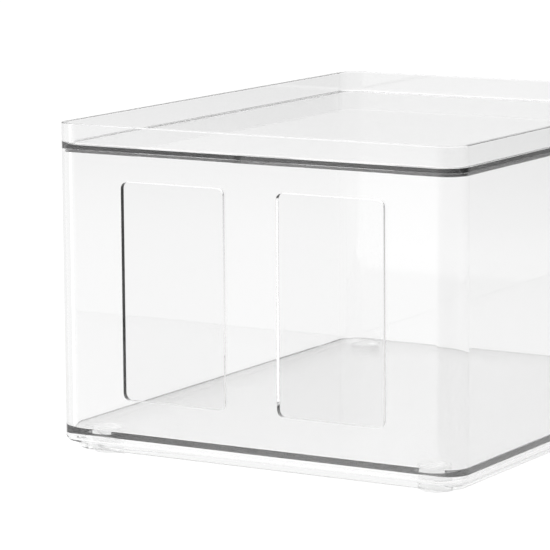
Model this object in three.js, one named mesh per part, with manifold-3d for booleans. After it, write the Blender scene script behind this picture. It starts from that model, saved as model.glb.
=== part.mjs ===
// Clear stackable storage bin with a lift-off tray lid.
//
// Millimetres, +Z up. The origin is on the surface that the bin stands on, under its middle.
// The windowed front wall faces -Y, and the long sides face -X and +X.
//
// The bin stacks: the stepped-in base ring under its floor drops inside the rim of the lid below,
// and the shoulder of the ring rests on that rim.

import * as THREE from 'three';
import { mergeVertices } from 'three/addons/utils/BufferGeometryUtils.js';
import Module from 'manifold-3d';

const wasm = await Module();
wasm.setup();

// Outline of the bin, seen from above
const WIDTH = 200;
const DEPTH = 262;
const CORNER_RADIUS = 10;
const MIN_CORNER_RADIUS = 8.8;
const WALL = 2.5;
const CORNER_STEPS = 8;
const FILLET_STEPS = 4;

// Floor of the tub
const FLOOR_UNDERSIDE = 9;
const FLOOR_THICKNESS = 2.4;
const FLOOR_FILLET = 0.5;
const TUB_EDGE_RADIUS = 0.2;

// Base ring: a thin shell with a shoulder and a plinth, welded under the tub's walls
const WELD_GAP = 0.3;
const RING_WALL = 1.2;
const RING_BOTTOM = 1.2;
const PLINTH_TOP_INSET = 3.7;
const PLINTH_INSET = 4.3;
const PLINTH_EDGE_RADIUS = 1.9;
const SHOULDER_HEIGHT = 4.9;
const SHOULDER_RADIUS = 2.6;

// Rebate at the top of the walls, which holds the lid in place
const LEDGE_HEIGHT = 134.1;
const TONGUE_HEIGHT = 1.5;
const TONGUE_WIDTH = 1.2;
const LID_GAP = 0.3;

// Lid: a flat panel with an upstanding rim
const PANEL_TOP = 137.2;
const RIM_TOP = 146.8;
const RIM_EDGE_RADIUS = 0.5;
const PANEL_FILLET = 1.2;

// Two tall windows cut through the front wall
const WINDOW_WIDTH = 51.6;
const WINDOW_HEIGHT = 96.1;
const WINDOW_RADIUS = 3;
const WINDOW_CENTRE_X = 39;
const WINDOW_CENTRE_Z = 74.75;
const WINDOW_CORNER_STEPS = 5;

// Round bosses under the corners of the floor, each with a soft foot pad
const FOOT_INSET_X = 18;
const FOOT_INSET_Y = 14;
const FOOT_RADIUS = 7.1;
const FOOT_EMBED = 1;
const PAD_THICKNESS = 1.5;
const PAD_RADIUS = 6.5;
const PAD_EDGE = 0.3;
const PAD_GAP = 0.3;
const ROUND_STEPS = 32;

const FLOOR_TOP = FLOOR_UNDERSIDE + FLOOR_THICKNESS;

const clearPlastic = new THREE.MeshStandardMaterial({
  color: 0xf3f5f6,
  roughness: 0.04,
  metalness: 0,
  transparent: true,
  opacity: 0.3,
});
const softPad = new THREE.MeshStandardMaterial({
  color: 0xe6e8ea,
  roughness: 0.45,
  metalness: 0,
  transparent: true,
  opacity: 0.6,
});

// Points of one quarter turn from the angle "from" to the angle "to", in degrees, around (inset, z)
function quarterArc(inset, z, radius, from, to) {
  const points = [];
  for (let i = 0; i <= FILLET_STEPS; i += 1) {
    const angle = THREE.MathUtils.degToRad(from + ((to - from) * i) / FILLET_STEPS);
    points.push([inset + radius * Math.cos(angle), z + radius * Math.sin(angle)]);
  }
  return points;
}

// The rounded rectangle that lies "inset" inside the bin's outline, as [x, y] points
function outlineAt(inset) {
  const radius = Math.max(CORNER_RADIUS - inset, MIN_CORNER_RADIUS);
  const halfX = WIDTH / 2 - inset - radius;
  const halfY = DEPTH / 2 - inset - radius;
  const centres = [[halfX, halfY], [-halfX, halfY], [-halfX, -halfY], [halfX, -halfY]];
  const points = [];
  centres.forEach(([x, y], corner) => {
    for (let i = 0; i <= CORNER_STEPS; i += 1) {
      const angle = ((corner + i / CORNER_STEPS) * Math.PI) / 2;
      points.push([x + radius * Math.cos(angle), y + radius * Math.sin(angle)]);
    }
  });
  return points;
}

// A solid whose section is the profile, a list of [inset, z] points that runs from the middle of
// the underside, round the outside, to the middle of the top. Each point becomes one ring.
function sweptTray(profile) {
  const rings = profile.map(([inset, z]) => outlineAt(inset).map(([x, y]) => [x, y, z]));
  const count = rings[0].length;
  const positions = rings.flat(2);
  const bottomCentre = rings.length * count;
  const topCentre = bottomCentre + 1;
  positions.push(0, 0, profile[0][1], 0, 0, profile[profile.length - 1][1]);
  const index = [];
  for (let i = 0; i < count; i += 1) {
    const next = (i + 1) % count;
    index.push(bottomCentre, next, i);
    for (let ring = 0; ring + 1 < rings.length; ring += 1) {
      const low = ring * count;
      const high = low + count;
      index.push(low + i, low + next, high + next, low + i, high + next, high + i);
    }
    const last = (rings.length - 1) * count;
    index.push(topCentre, last + i, last + next);
  }
  const geometry = new THREE.BufferGeometry();
  geometry.setAttribute('position', new THREE.Float32BufferAttribute(positions, 3));
  geometry.setIndex(index);
  return geometry;
}

function toManifold(geometry) {
  const bare = geometry.clone();
  bare.deleteAttribute('normal');
  bare.deleteAttribute('uv');
  const merged = mergeVertices(bare);
  return new wasm.Manifold(new wasm.Mesh({
    numProp: 3,
    vertProperties: new Float32Array(merged.attributes.position.array),
    triVerts: new Uint32Array(merged.index.array),
  }));
}

function toGeometry(solid) {
  const mesh = solid.getMesh();
  const geometry = new THREE.BufferGeometry();
  geometry.setAttribute('position', new THREE.BufferAttribute(mesh.vertProperties, 3));
  geometry.setIndex(new THREE.BufferAttribute(mesh.triVerts, 1));
  geometry.computeVertexNormals();
  return geometry;
}

// Section of the tub: underside, wall, rebate, floor
function tubProfile() {
  const edge = TUB_EDGE_RADIUS;
  const ledge = LEDGE_HEIGHT;
  const fillet = FLOOR_FILLET;
  return [
    ...quarterArc(edge, FLOOR_UNDERSIDE + edge, edge, 270, 180),
    [0, ledge + TONGUE_HEIGHT],
    [TONGUE_WIDTH, ledge + TONGUE_HEIGHT],
    [TONGUE_WIDTH, ledge],
    [WALL, ledge],
    ...quarterArc(WALL + fillet, FLOOR_TOP + fillet, fillet, 180, 270),
  ];
}

// Outer section of the base ring, and the section of the hollow inside it
function ringOuterProfile() {
  const edge = PLINTH_EDGE_RADIUS;
  return [
    ...quarterArc(PLINTH_INSET + edge, RING_BOTTOM + edge, edge, 270, 180),
    [PLINTH_TOP_INSET, SHOULDER_HEIGHT],
    ...quarterArc(SHOULDER_RADIUS, SHOULDER_HEIGHT + SHOULDER_RADIUS, SHOULDER_RADIUS, 270, 180),
    [0, FLOOR_UNDERSIDE - WELD_GAP],
  ];
}

function ringInnerProfile() {
  const plinthInside = PLINTH_INSET + PLINTH_EDGE_RADIUS;
  const inner = SHOULDER_RADIUS - RING_WALL;
  return [
    [plinthInside, RING_BOTTOM - 1],
    [plinthInside, SHOULDER_HEIGHT + RING_WALL],
    ...quarterArc(SHOULDER_RADIUS, SHOULDER_HEIGHT + SHOULDER_RADIUS, inner, 270, 180),
    [RING_WALL, FLOOR_UNDERSIDE + 1],
  ];
}

// Section of the lid: notch over the tongue, rim, panel
function lidProfile() {
  const notch = TONGUE_WIDTH + LID_GAP;
  const underside = LEDGE_HEIGHT + LID_GAP;
  const flangeBottom = LEDGE_HEIGHT + TONGUE_HEIGHT + LID_GAP;
  const edge = RIM_EDGE_RADIUS;
  const fillet = PANEL_FILLET;
  return [
    [notch, underside],
    [notch, flangeBottom],
    [0, flangeBottom],
    ...quarterArc(edge, RIM_TOP - edge, edge, 180, 90),
    ...quarterArc(WALL - edge, RIM_TOP - edge, edge, 90, 0),
    ...quarterArc(WALL + fillet, PANEL_TOP + fillet, fillet, 180, 270),
  ];
}

// A round-cornered block that passes right through the front wall
function windowCutter(x) {
  const halfWidth = WINDOW_WIDTH / 2;
  const halfHeight = WINDOW_HEIGHT / 2;
  const r = WINDOW_RADIUS;
  const shape = new THREE.Shape();
  shape.moveTo(-halfWidth + r, -halfHeight);
  shape.lineTo(halfWidth - r, -halfHeight);
  shape.absarc(halfWidth - r, -halfHeight + r, r, -Math.PI / 2, 0);
  shape.lineTo(halfWidth, halfHeight - r);
  shape.absarc(halfWidth - r, halfHeight - r, r, 0, Math.PI / 2);
  shape.lineTo(-halfWidth + r, halfHeight);
  shape.absarc(-halfWidth + r, halfHeight - r, r, Math.PI / 2, Math.PI);
  shape.lineTo(-halfWidth, -halfHeight + r);
  shape.absarc(-halfWidth + r, -halfHeight + r, r, Math.PI, Math.PI * 1.5);
  const length = 4 * WALL;
  const options = { depth: length, bevelEnabled: false, curveSegments: WINDOW_CORNER_STEPS };
  const geometry = new THREE.ExtrudeGeometry(shape, options);
  geometry.rotateX(Math.PI / 2);
  geometry.translate(x, -DEPTH / 2 + length / 2 + WALL / 2, WINDOW_CENTRE_Z);
  return geometry;
}

function footCentres() {
  const x = WIDTH / 2 - FOOT_INSET_X;
  const y = DEPTH / 2 - FOOT_INSET_Y;
  return [
    ['front_left', -x, -y],
    ['front_right', x, -y],
    ['rear_left', -x, y],
    ['rear_right', x, y],
  ];
}

// Round boss moulded under the floor
function footGeometry(x, y) {
  const bottom = PAD_THICKNESS + PAD_GAP;
  const height = FLOOR_UNDERSIDE + FOOT_EMBED - bottom;
  const geometry = new THREE.CylinderGeometry(FOOT_RADIUS, FOOT_RADIUS, height, ROUND_STEPS);
  geometry.rotateX(Math.PI / 2);
  geometry.translate(x, y, bottom + height / 2);
  return geometry;
}

function makeTub() {
  let solid = toManifold(sweptTray(tubProfile()));
  for (const x of [-WINDOW_CENTRE_X, WINDOW_CENTRE_X]) {
    solid = solid.subtract(toManifold(windowCutter(x)));
  }
  for (const [, x, y] of footCentres()) {
    solid = solid.add(toManifold(footGeometry(x, y)));
  }
  const mesh = new THREE.Mesh(toGeometry(solid), clearPlastic);
  mesh.name = 'bin_body';
  return mesh;
}

function makeBaseRing() {
  const hollow = toManifold(sweptTray(ringInnerProfile()));
  const solid = toManifold(sweptTray(ringOuterProfile())).subtract(hollow);
  const mesh = new THREE.Mesh(toGeometry(solid), clearPlastic);
  mesh.name = 'base_ring';
  return mesh;
}

function makeLid() {
  const mesh = new THREE.Mesh(toGeometry(toManifold(sweptTray(lidProfile()))), clearPlastic);
  mesh.name = 'lid';
  return mesh;
}

// Soft disc with eased edges, turned about its own axis
function padGeometry() {
  const profile = [
    new THREE.Vector2(0, 0),
    new THREE.Vector2(PAD_RADIUS - PAD_EDGE, 0),
    new THREE.Vector2(PAD_RADIUS, PAD_EDGE),
    new THREE.Vector2(PAD_RADIUS, PAD_THICKNESS),
    new THREE.Vector2(0, PAD_THICKNESS),
  ];
  const geometry = new THREE.LatheGeometry(profile, ROUND_STEPS);
  geometry.rotateX(Math.PI / 2);
  return toGeometry(toManifold(geometry));
}

function makePads() {
  const geometry = padGeometry();
  return footCentres().map(([corner, x, y]) => {
    const mesh = new THREE.Mesh(geometry, softPad);
    mesh.name = `foot_pad_${corner}`;
    mesh.position.set(x, y, 0);
    return mesh;
  });
}

const bin = new THREE.Group();
bin.add(makeTub(), makeBaseRing(), ...makePads());

const lid = new THREE.Group();
lid.add(makeLid());

const assembly = new THREE.Group();
assembly.add(bin, lid);

export default assembly;
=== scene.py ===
"""Clear stackable storage bin with a lift-off tray lid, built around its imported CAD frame.

Lengths are in metres, Z is up, and the origin is under the middle of the bin. The windowed front
wall faces -Y. Sizes that the frame knows, such as heights and widths, are read from it. The others
are named below in millimetres and turned into metres by MM.
"""

import math

import bmesh
import bpy
from mathutils import Matrix, Vector


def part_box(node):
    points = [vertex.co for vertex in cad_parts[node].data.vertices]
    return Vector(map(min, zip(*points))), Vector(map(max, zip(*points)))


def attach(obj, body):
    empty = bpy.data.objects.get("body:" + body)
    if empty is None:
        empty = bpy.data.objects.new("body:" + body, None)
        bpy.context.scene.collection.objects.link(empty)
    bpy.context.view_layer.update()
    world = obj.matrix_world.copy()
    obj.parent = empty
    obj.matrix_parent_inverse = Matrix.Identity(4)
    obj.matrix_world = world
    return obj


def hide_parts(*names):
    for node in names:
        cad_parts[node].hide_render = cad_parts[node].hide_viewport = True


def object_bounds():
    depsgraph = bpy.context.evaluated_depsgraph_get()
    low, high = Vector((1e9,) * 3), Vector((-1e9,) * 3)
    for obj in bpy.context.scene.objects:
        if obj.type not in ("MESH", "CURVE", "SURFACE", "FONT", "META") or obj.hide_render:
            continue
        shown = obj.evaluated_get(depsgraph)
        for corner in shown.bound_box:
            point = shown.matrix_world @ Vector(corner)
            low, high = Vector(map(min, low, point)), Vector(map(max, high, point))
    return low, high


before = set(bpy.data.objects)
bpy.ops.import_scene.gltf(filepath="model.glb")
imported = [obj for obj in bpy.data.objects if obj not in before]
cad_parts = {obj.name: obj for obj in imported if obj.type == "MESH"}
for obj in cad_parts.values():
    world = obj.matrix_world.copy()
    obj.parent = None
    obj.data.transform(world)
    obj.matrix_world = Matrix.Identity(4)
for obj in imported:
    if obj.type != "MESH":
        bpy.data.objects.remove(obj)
cad_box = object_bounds()

MM = 0.001

# Section of the bin, in millimetres
WALL = 2.5
CORNER_RADIUS = 10.0
MIN_CORNER_RADIUS = 8.8
FLOOR_UNDERSIDE = 9.0
FLOOR_TOP = 11.4
FLOOR_FILLET = 0.5
SMALL_EDGE = 0.18
LEDGE_TOP = 134.1
TONGUE_TOP = 135.6
TONGUE_WIDTH = 1.2
SEAM = 0.12
PANEL_TOP = 137.2
RIM_EDGE = 0.5
PANEL_FILLET = 1.2

# Section of the base ring, a thin shell welded under the walls
RING_WALL = 1.2
RING_BOTTOM = 1.2
RING_TOP = 8.95
PLINTH_TOP_INSET = 3.7
PLINTH_INSET = 4.3
PLINTH_EDGE = 1.9
SHOULDER_BOTTOM = 4.9
SHOULDER_RADIUS = 2.6

# Windows in the front wall
WINDOW_WIDTH = 51.6
WINDOW_HEIGHT = 96.1
WINDOW_RADIUS = 3.0
WINDOW_CENTRE_X = 39.0
WINDOW_CENTRE_Z = 74.75
WINDOW_EDGE = 0.2

# Round bosses under the floor and their soft pads
FOOT_RADIUS = 7.1
FOOT_BOTTOM = 1.8
FOOT_EDGE = 0.3
PAD_TOP = 1.75
PAD_EDGE = 0.5

# Fineness of the curved surfaces
CORNER_STEPS = 24
ARC_STEPS = 6
ROUND_STEPS = 64

# Camera
CAMERA_AT = (0.72196, -1.32367, 0.30911)
CAMERA_YAW = 0.53654
CAMERA_PITCH = 0.15812
CAMERA_ROLL = -0.0068
CAMERA_LENS = 217.65
SENSOR = 36.0
AWAY = (-math.sin(CAMERA_YAW), math.cos(CAMERA_YAW), 0)
SIDE = (math.cos(CAMERA_YAW), math.sin(CAMERA_YAW), 0)

# Clear plastic and silicone. Noise scales are in repeats per metre
PLASTIC_IOR = 1.5
ABSORPTION_PER_METRE = 8.25
HAZE_SCALE = 40
HAZE_LIMIT = 0.012
WAVE_SCALE = 22
WAVE_DEPTH = 0.01
SATIN_ROUGHNESS = 0.22
SATIN_REACH = 0.05
SILICONE_IOR = 1.41
SILICONE_ROUGHNESS = (0.06, 0.12)
MOTTLE_SCALE = 900
GRAIN_SCALE = 2500
GRAIN_DEPTH = 0.02

# Studio. Tones are brightnesses in what the plastic mirrors and lets through, and the camera itself
# sees plain white. Depth and side are distances away from and to the right of the camera's view.
FLOOR_SIZE = 9
FLOOR_GLOW = 0.95
FLOOR_ALBEDO = 0.05
# Painted glow and shade on the floor: brighter under the bin, darker far off, to the right and on the
# camera's side
UNDER_TONE = 1.06
NEAR_TONE = 0.945
FAR_TONE = 0.875
RIGHT_TONE = 0.45
CAMERA_TONE = 0.55
# Painted glow: a bright patch on the floor in front and to the left of the bin, seen mirrored in its walls
MIRRORED_TONE = 1.5
MIRRORED_BOOST = 0.2
MIRRORED_EDGE = (-0.94, 0.342, 0)
MIRRORED_OFFSET = -0.138
LOW_SKY_TONE = 0.88
HIGH_SKY_TONE = 1.0
BACK_LIGHT_TONE = 1.5
BACK_LIGHT = (-0.32, 0.39, 0.866)
FRONT_LEFT_TONE = 1.4
FRONT_LEFT = (-0.485, -0.866, 0.12)
BACK_RIGHT_TONE = 0.55
BACK_RIGHT = (0.488, 0.871, -0.05)
KEY_AT = (-0.6, -0.19, 1.0)
KEY_SIZE = 0.5
KEY_TONE = 1.5

HALF_X = cad_box[1][0] / MM
HALF_Y = cad_box[1][1] / MM
RIM_TOP = cad_box[1][2] / MM
PAD_NODES = sorted(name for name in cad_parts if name.startswith("foot_pad"))


# ---------------------------------------------------------------- camera

def make_camera():
    """The camera's axes come from its yaw, then its pitch, then its roll."""
    ahead = Vector(AWAY)
    side = Vector(SIDE)
    up = Vector((0, 0, 1))
    forward = ahead * math.cos(CAMERA_PITCH) - up * math.sin(CAMERA_PITCH)
    above = up * math.cos(CAMERA_PITCH) + ahead * math.sin(CAMERA_PITCH)
    right = side * math.cos(CAMERA_ROLL) + above * math.sin(CAMERA_ROLL)
    top = above * math.cos(CAMERA_ROLL) - side * math.sin(CAMERA_ROLL)
    data = bpy.data.cameras.new("camera")
    data.lens = CAMERA_LENS
    data.sensor_width = SENSOR
    data.clip_end = 50
    camera = bpy.data.objects.new("camera", data)
    turn = Matrix((right, top, -forward)).transposed().to_4x4()
    camera.matrix_world = Matrix.Translation(CAMERA_AT) @ turn
    bpy.context.scene.collection.objects.link(camera)
    bpy.context.scene.camera = camera


# ---------------------------------------------------------------- mesh helpers

def arc(inset, z, radius, start, end, steps=ARC_STEPS):
    """Points [inset, z] on a stretch of circle, from one angle in degrees to another."""
    points = []
    for i in range(steps + 1):
        angle = math.radians(start + (end - start) * i / steps)
        points.append((inset + radius * math.cos(angle), z + radius * math.sin(angle)))
    return points


def outline(inset):
    """Rounded rectangle that lies inset inside the bin's outline, anticlockwise from above."""
    radius = max(CORNER_RADIUS - inset, MIN_CORNER_RADIUS)
    x = HALF_X - inset - radius
    y = HALF_Y - inset - radius
    points = []
    for corner, (cx, cy) in enumerate(((x, y), (-x, y), (-x, -y), (x, -y))):
        for i in range(CORNER_STEPS + 1):
            angle = (corner + i / CORNER_STEPS) * math.pi / 2
            points.append((cx + radius * math.cos(angle), cy + radius * math.sin(angle)))
    return points


def skin(name, rings, looped=False):
    """Mesh through rings of points in millimetres. It has a cap on the first ring and the last, or it
    is looped, with the last ring joined to the first."""
    bm = bmesh.new()
    made = [[bm.verts.new([c * MM for c in point]) for point in ring] for ring in rings]
    count = len(rings[0])
    pairs = list(zip(made, made[1:]))
    if looped:
        pairs.append((made[-1], made[0]))
    else:
        bm.faces.new(list(reversed(made[0])))
        bm.faces.new(made[-1])
    for low, high in pairs:
        for i in range(count):
            j = (i + 1) % count
            bm.faces.new((low[i], low[j], high[j], high[i]))
    bmesh.ops.recalc_face_normals(bm, faces=bm.faces)
    mesh = bpy.data.meshes.new(name)
    bm.to_mesh(mesh)
    bm.free()
    piece = bpy.data.objects.new(name, mesh)
    bpy.context.scene.collection.objects.link(piece)
    return piece


def tray(name, profile, looped=False):
    return skin(name, [[(x, y, z) for x, y in outline(inset)] for inset, z in profile], looped)


def turned(name, profile, x, y):
    """Round piece from (radius, z) points, about an upright axis at x, y."""
    rings = []
    for radius, z in profile:
        ring = []
        for i in range(ROUND_STEPS):
            angle = 2 * math.pi * i / ROUND_STEPS
            ring.append((x + radius * math.cos(angle), y + radius * math.sin(angle), z))
        rings.append(ring)
    return skin(name, rings)


def combine(piece, tool, operation):
    """Cuts tool out of piece or joins it on, and removes tool."""
    modifier = piece.modifiers.new("combine", "BOOLEAN")
    modifier.operation = operation
    modifier.solver = "EXACT"
    modifier.object = tool
    apply_modifiers(piece)
    bpy.data.objects.remove(tool)


def apply_modifiers(piece):
    depsgraph = bpy.context.evaluated_depsgraph_get()
    depsgraph.update()
    mesh = bpy.data.meshes.new_from_object(piece.evaluated_get(depsgraph))
    piece.modifiers.clear()
    piece.data = mesh


def finish_mesh(piece, sharp_degrees=30):
    """Smooth shading, with flat faces kept flat to their edges so that they refract truly."""
    for polygon in piece.data.polygons:
        polygon.use_smooth = True
    piece.data.set_sharp_from_angle(angle=math.radians(sharp_degrees))
    weighted = piece.modifiers.new("weighted", "WEIGHTED_NORMAL")
    weighted.keep_sharp = True
    weighted.weight = 100
    apply_modifiers(piece)


def dress(piece, material, body, node):
    piece.data.materials.clear()
    piece.data.materials.append(material)
    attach(piece, body)
    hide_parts(node)


# ---------------------------------------------------------------- tub and base ring

def tub_profile():
    small = SMALL_EDGE
    fillet = FLOOR_FILLET
    points = arc(small, FLOOR_UNDERSIDE + small, small, 270, 180)
    points += arc(small, TONGUE_TOP - small, small, 180, 90)
    points += arc(TONGUE_WIDTH - small, TONGUE_TOP - small, small, 90, 0)
    points += [(TONGUE_WIDTH, LEDGE_TOP)]
    points += arc(WALL - small, LEDGE_TOP - small, small, 90, 0)
    points += arc(WALL + fillet, FLOOR_TOP + fillet, fillet, 180, 270)
    return points


def ring_profile():
    edge = PLINTH_EDGE
    small = SMALL_EDGE
    inside = PLINTH_INSET + edge + small
    shelf = SHOULDER_BOTTOM + RING_WALL
    curve = SHOULDER_BOTTOM + SHOULDER_RADIUS
    points = arc(inside - small, RING_BOTTOM + small, small, 0, -90)
    points += arc(PLINTH_INSET + edge, RING_BOTTOM + edge, edge, 270, 180)
    points += [(PLINTH_TOP_INSET, SHOULDER_BOTTOM)]
    points += arc(SHOULDER_RADIUS, curve, SHOULDER_RADIUS, 270, 180, 12)
    points += arc(small, RING_TOP - small, small, 180, 90)
    points += arc(RING_WALL - small, RING_TOP - small, small, 90, 0)
    points += arc(SHOULDER_RADIUS, curve, SHOULDER_RADIUS - RING_WALL, 180, 270)
    points += arc(inside - small, shelf - small, small, 90, 0)
    return points


def window_outline(grow):
    radius = WINDOW_RADIUS + grow
    x = WINDOW_WIDTH / 2 + grow - radius
    z = WINDOW_HEIGHT / 2 + grow - radius
    points = []
    for corner, (cx, cz) in enumerate(((x, z), (-x, z), (-x, -z), (x, -z))):
        for i in range(ARC_STEPS + 1):
            angle = (corner + i / ARC_STEPS) * math.pi / 2
            points.append((cx + radius * math.cos(angle), cz + radius * math.sin(angle)))
    return points


def window_cutter(x):
    """Block through the front wall that flares at both faces, so that the cut has eased edges."""
    edge = WINDOW_EDGE
    front = -HALF_Y
    back = front + WALL
    stations = [(edge, front - 1)]
    stations += arc(edge, front + edge, edge, 270, 180)
    stations += arc(edge, back - edge, edge, 180, 90)
    stations += [(edge, back + 1)]
    rings = []
    for grow, y in stations:
        rings.append([(x + u, y, WINDOW_CENTRE_Z + v) for u, v in window_outline(grow)])
    return skin("cutter", rings)


def foot_profile():
    edge = FOOT_EDGE
    points = arc(FOOT_RADIUS - edge, FOOT_BOTTOM + edge, edge, 270, 360)
    return points + [(FOOT_RADIUS, FLOOR_UNDERSIDE + 1)]


def pad_centre(node):
    low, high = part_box(node)
    return (low.x + high.x) / 2 / MM, (low.y + high.y) / 2 / MM


def make_tub(material):
    tub = tray("bin_body_moulding", tub_profile())
    for x in (-WINDOW_CENTRE_X, WINDOW_CENTRE_X):
        combine(tub, window_cutter(x), "DIFFERENCE")
    for node in PAD_NODES:
        combine(tub, turned("foot", foot_profile(), *pad_centre(node)), "UNION")
    finish_mesh(tub)
    dress(tub, material, "bin", "bin_body")


def make_base_ring(material):
    ring = tray("base_ring_moulding", ring_profile(), looped=True)
    finish_mesh(ring)
    dress(ring, material, "bin", "base_ring")


# ---------------------------------------------------------------- lid

def lid_profile():
    notch = TONGUE_WIDTH + SEAM
    underside = LEDGE_TOP + SEAM
    flange = TONGUE_TOP + SEAM
    small = SMALL_EDGE
    edge = RIM_EDGE
    fillet = PANEL_FILLET
    points = arc(notch + small, underside + small, small, 270, 180)
    points += [(notch, flange)]
    points += arc(small, flange + small, small, 270, 180)
    points += arc(edge, RIM_TOP - edge, edge, 180, 90)
    points += arc(WALL - edge, RIM_TOP - edge, edge, 90, 0)
    points += arc(WALL + fillet, PANEL_TOP + fillet, fillet, 180, 270)
    return points


def make_lid(material):
    lid = tray("lid_moulding", lid_profile())
    finish_mesh(lid)
    dress(lid, material, "lid", "lid")


# ---------------------------------------------------------------- pads

def make_pad(node, material):
    low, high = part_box(node)
    radius = (high.x - low.x) / 2 / MM
    edge = PAD_EDGE
    profile = arc(radius - edge, edge, edge, 270, 360)
    profile += arc(radius - edge, PAD_TOP - edge, edge, 0, 90)
    pad = turned(node.replace("foot_pad", "soft_pad"), profile, *pad_centre(node))
    finish_mesh(pad, 60)
    dress(pad, material, "bin", node)


# ---------------------------------------------------------------- materials

def node_material(name):
    material = bpy.data.materials.new(name)
    material.use_nodes = True
    nodes = material.node_tree.nodes
    return material, nodes, material.node_tree.links, nodes["Principled BSDF"]


def noise(nodes, links, scale, detail):
    """Noise over the bin's own coordinates. Scale is in repeats per metre."""
    place = nodes.new("ShaderNodeTexCoord")
    texture = nodes.new("ShaderNodeTexNoise")
    texture.inputs["Scale"].default_value = scale
    texture.inputs["Detail"].default_value = detail
    links.new(place.outputs["Object"], texture.inputs["Vector"])
    return texture.outputs["Fac"]


def spread(nodes, links, source, low, high):
    scale = nodes.new("ShaderNodeMapRange")
    scale.inputs["From Min"].default_value = 0.3
    scale.inputs["From Max"].default_value = 0.7
    scale.inputs["To Min"].default_value = low
    scale.inputs["To Max"].default_value = high
    links.new(source, scale.inputs["Value"])
    return scale.outputs["Result"]


def bump(nodes, links, source, depth):
    relief = nodes.new("ShaderNodeBump")
    relief.inputs["Distance"].default_value = depth
    relief.inputs["Strength"].default_value = 1
    links.new(source, relief.inputs["Height"])
    return relief.outputs["Normal"]


def satin_face(nodes, links, polished, height):
    """Roughness of a satin face that lies level at a height in millimetres, and polished elsewhere."""
    place = nodes.new("ShaderNodeTexCoord")
    split = nodes.new("ShaderNodeSeparateXYZ")
    links.new(place.outputs["Object"], split.inputs["Vector"])
    above = nodes.new("ShaderNodeMath")
    above.operation = "SUBTRACT"
    above.inputs[1].default_value = height * MM
    links.new(split.outputs["Z"], above.inputs[0])
    level = nodes.new("ShaderNodeMath")
    level.operation = "COMPARE"
    level.inputs[1].default_value = 0
    level.inputs[2].default_value = SATIN_REACH * MM
    links.new(above.outputs["Value"], level.inputs[0])
    satin = nodes.new("ShaderNodeMath")
    satin.operation = "MULTIPLY_ADD"
    satin.inputs[1].default_value = SATIN_ROUGHNESS
    links.new(level.outputs["Value"], satin.inputs[0])
    links.new(polished, satin.inputs[2])
    return satin.outputs["Value"]


def clear_plastic(name, satin_height=None):
    """Polished clear plastic. Its faint absorption darkens only long paths, such as the floor and
    the lid's panel seen edge-on. An underside at satin_height has the satin of its mould."""
    material, nodes, links, shader = node_material(name)
    shader.inputs["Base Color"].default_value = (1, 1, 1, 1)
    shader.inputs["Transmission Weight"].default_value = 1
    shader.inputs["IOR"].default_value = PLASTIC_IOR
    haze = spread(nodes, links, noise(nodes, links, HAZE_SCALE, 4), 0.0, HAZE_LIMIT)
    if satin_height is not None:
        haze = satin_face(nodes, links, haze, satin_height)
    links.new(haze, shader.inputs["Roughness"])
    waves = bump(nodes, links, noise(nodes, links, WAVE_SCALE, 1), WAVE_DEPTH * MM)
    links.new(waves, shader.inputs["Normal"])
    inside = nodes.new("ShaderNodeVolumeAbsorption")
    inside.inputs["Color"].default_value = (0.5, 0.5, 0.5, 1)
    inside.inputs["Density"].default_value = 2 * ABSORPTION_PER_METRE
    links.new(inside.outputs["Volume"], nodes["Material Output"].inputs["Volume"])
    return material


def soft_pad():
    """Translucent silicone with a satin face."""
    material, nodes, links, shader = node_material("soft_pad")
    shader.inputs["Base Color"].default_value = (0.98, 0.98, 0.98, 1)
    shader.inputs["Transmission Weight"].default_value = 0.97
    shader.inputs["IOR"].default_value = SILICONE_IOR
    mottle = spread(nodes, links, noise(nodes, links, MOTTLE_SCALE, 3), *SILICONE_ROUGHNESS)
    links.new(mottle, shader.inputs["Roughness"])
    grain = bump(nodes, links, noise(nodes, links, GRAIN_SCALE, 2), GRAIN_DEPTH * MM)
    links.new(grain, shader.inputs["Normal"])
    return material


# ---------------------------------------------------------------- stage

def calculate(tree, operation, *values):
    """Maths node on sockets or plain numbers."""
    node = tree.nodes.new("ShaderNodeMath")
    node.operation = operation
    for slot, value in zip(node.inputs, values):
        if isinstance(value, (int, float)):
            slot.default_value = value
        else:
            tree.links.new(value, slot)
    return node.outputs["Value"]


def fade(tree, value, start, end, low=0.0, high=1.0):
    """Smooth change from low at start to high at end."""
    node = tree.nodes.new("ShaderNodeMapRange")
    node.interpolation_type = "SMOOTHSTEP"
    plain = {"From Min": start, "From Max": end, "To Min": low, "To Max": high}
    for name, number in plain.items():
        node.inputs[name].default_value = number
    tree.links.new(value, node.inputs["Value"])
    return node.outputs["Result"]


def along(tree, vector, axis):
    """How far vector reaches along axis."""
    node = tree.nodes.new("ShaderNodeVectorMath")
    node.operation = "DOT_PRODUCT"
    node.inputs[1].default_value = axis
    tree.links.new(vector, node.inputs[0])
    return node.outputs["Value"]


def plain_white(tree, value):
    """White where the camera looks straight at the stage, and value in what the bin mirrors and lets
    through."""
    path = tree.nodes.new("ShaderNodeLightPath")
    return calculate(tree, "MAXIMUM", value, path.outputs["Is Camera Ray"])


def painted_floor_glow(tree, depth, side):
    """Painted glow and shade on the floor: it glows brightest under the bin and is painted darker far off,
    to the right and on the camera's side.
    """
    tone = fade(tree, depth, 0.08, 0.25, UNDER_TONE, NEAR_TONE)
    tone = calculate(tree, "MINIMUM", tone, fade(tree, depth, 0.6, 1.6, NEAR_TONE, FAR_TONE))
    right = fade(tree, side, 0.1, 1.1, 1, RIGHT_TONE)
    shade = fade(tree, side, -0.8, -0.1, 0, 1 - CAMERA_TONE)
    shade = calculate(tree, "MULTIPLY", shade, fade(tree, depth, -0.7, -0.3, 1, 0))
    limit = calculate(tree, "MINIMUM", right, calculate(tree, "SUBTRACT", 1, shade))
    return calculate(tree, "MULTIPLY", tone, limit)


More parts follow.
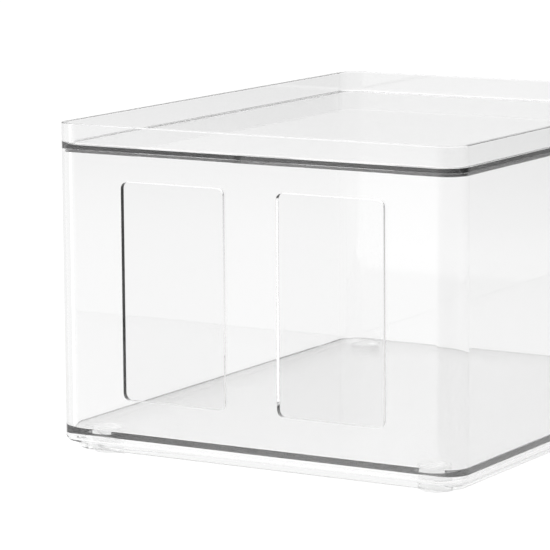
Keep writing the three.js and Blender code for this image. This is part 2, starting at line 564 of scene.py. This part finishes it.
def painted_glow_zone(tree, place, depth):
    """Painted glow: a bright patch painted on the floor in front and to the left of the bin, seen mirrored
    in its walls. The first result is how far a place lies in it, and the second is that times its tone."""
    past_edge = calculate(tree, "SUBTRACT", along(tree, place, MIRRORED_EDGE), MIRRORED_OFFSET)
    zone = calculate(tree, "MULTIPLY", fade(tree, past_edge, -0.02, 0.04), fade(tree, depth, -1.0, -0.6))
    ahead = along(tree, place, (0, 1, 0))
    zone = calculate(tree, "MULTIPLY", zone, fade(tree, ahead, -0.15, -0.12, 1, 0))
    boost = fade(tree, ahead, -0.4, -0.15, 0, MIRRORED_BOOST)
    return zone, calculate(tree, "MULTIPLY", zone, calculate(tree, "ADD", boost, MIRRORED_TONE))


def make_floor():
    bm = bmesh.new()
    bmesh.ops.create_grid(bm, x_segments=1, y_segments=1, size=FLOOR_SIZE)
    mesh = bpy.data.meshes.new("studio_floor")
    bm.to_mesh(mesh)
    bm.free()
    floor = bpy.data.objects.new("studio_floor", mesh)
    bpy.context.scene.collection.objects.link(floor)
    material, nodes, links, shader = node_material("studio_floor")
    tree = material.node_tree
    place = nodes.new("ShaderNodeTexCoord").outputs["Object"]
    depth = along(tree, place, AWAY)
    side = along(tree, place, SIDE)
    # The floor's emission is painted glow and shade that varies by place to stand in for studio light
    zone, zone_tone = painted_glow_zone(tree, place, depth)
    plain = painted_floor_glow(tree, depth, side)
    tone = calculate(tree, "MULTIPLY_ADD", plain, calculate(tree, "SUBTRACT", 1, zone), zone_tone)
    glow = calculate(tree, "MULTIPLY", tone, FLOOR_GLOW)
    links.new(plain_white(tree, glow), shader.inputs["Emission Strength"])
    shader.inputs["Base Color"].default_value = (FLOOR_ALBEDO, FLOOR_ALBEDO, FLOOR_ALBEDO, 1)
    shader.inputs["Emission Color"].default_value = (1, 1, 1, 1)
    shader.inputs["Roughness"].default_value = 1
    shader.inputs["Specular IOR Level"].default_value = 0
    mesh.materials.append(material)


def make_light(name, at, size, tone):
    """Square softbox aimed at the bin. Its tone is its radiance."""
    data = bpy.data.lights.new(name, "AREA")
    data.shape = "SQUARE"
    data.size = size
    data.energy = tone * math.pi * size * size
    light = bpy.data.objects.new(name, data)
    light.location = at
    light.rotation_euler = (-Vector(at)).to_track_quat("-Z", "Y").to_euler()
    bpy.context.scene.collection.objects.link(light)


def make_world():
    """Pale surround, brighter overhead, behind and low at the front left, darker low at the back right."""
    world = bpy.data.worlds.new("studio")
    world.use_nodes = True
    tree = world.node_tree
    direction = tree.nodes.new("ShaderNodeTexCoord").outputs["Generated"]
    height = along(tree, direction, (0, 0, 1))
    overhead = fade(tree, height, 0.1, 0.4, LOW_SKY_TONE, HIGH_SKY_TONE)
    back_light = fade(tree, along(tree, direction, BACK_LIGHT), 0.57, 0.85, LOW_SKY_TONE, BACK_LIGHT_TONE)
    front_left = fade(tree, along(tree, direction, FRONT_LEFT), 0.75, 1, LOW_SKY_TONE, FRONT_LEFT_TONE)
    back_right = fade(tree, along(tree, direction, BACK_RIGHT), 0.965, 0.995, 1, BACK_RIGHT_TONE)
    strength = calculate(tree, "MAXIMUM", calculate(tree, "MAXIMUM", overhead, back_light), front_left)
    strength = calculate(tree, "MULTIPLY", strength, back_right)
    background = tree.nodes["Background"]
    background.inputs["Color"].default_value = (1, 1, 1, 1)
    tree.links.new(plain_white(tree, strength), background.inputs["Strength"])
    bpy.context.scene.world = world


def set_render():
    scene = bpy.context.scene
    scene.view_settings.view_transform = "Standard"
    scene.cycles.max_bounces = 96
    scene.cycles.glossy_bounces = 96
    scene.cycles.transmission_bounces = 48
    scene.cycles.diffuse_bounces = 6
    scene.cycles.use_denoising = True
    scene.cycles.sample_clamp_indirect = 0


make_camera()
silicone = soft_pad()
make_tub(clear_plastic("clear_plastic_tub", FLOOR_UNDERSIDE))
make_base_ring(clear_plastic("clear_plastic_ring"))
make_lid(clear_plastic("clear_plastic_lid"))
for pad_node in PAD_NODES:
    make_pad(pad_node, silicone)
make_floor()
make_world()
make_light("key_softbox", KEY_AT, KEY_SIZE, KEY_TONE)
set_render()
